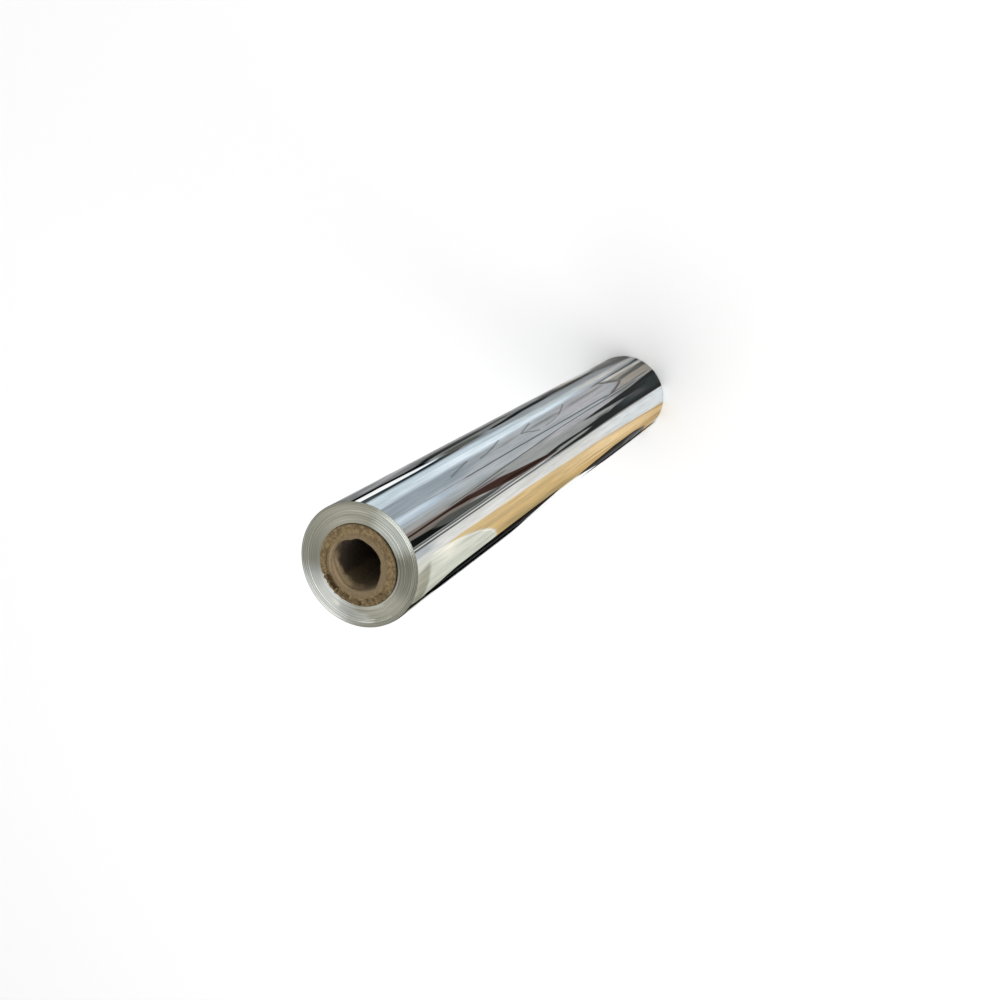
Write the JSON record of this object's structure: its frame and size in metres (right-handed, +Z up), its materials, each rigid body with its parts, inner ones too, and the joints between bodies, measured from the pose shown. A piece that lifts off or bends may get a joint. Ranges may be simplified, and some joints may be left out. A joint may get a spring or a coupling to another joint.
{
  "type": "aluminium foil roll",
  "caption": "Wide roll of bright aluminium foil wound on a thick paperboard core with an open bore; stands on either end or hangs on a spindle for tearing off lengths.",
  "frame": {"origin": "centre of the bottom end, on the roll's axis", "axes": "+Z up along the roll, from the plain end to the end with the crushed mouth; +X towards the right when looking along +Y"},
  "size_m": [0.0878, 0.0876, 0.6016],
  "materials": {
    "foil": "bright polished side, satin cut ends",
    "core": "matte rough paperboard"
  },
  "bodies": {
    "root": {"foil_roll": "foil", "core_tube": "core"}
  },
  "joints": []
}
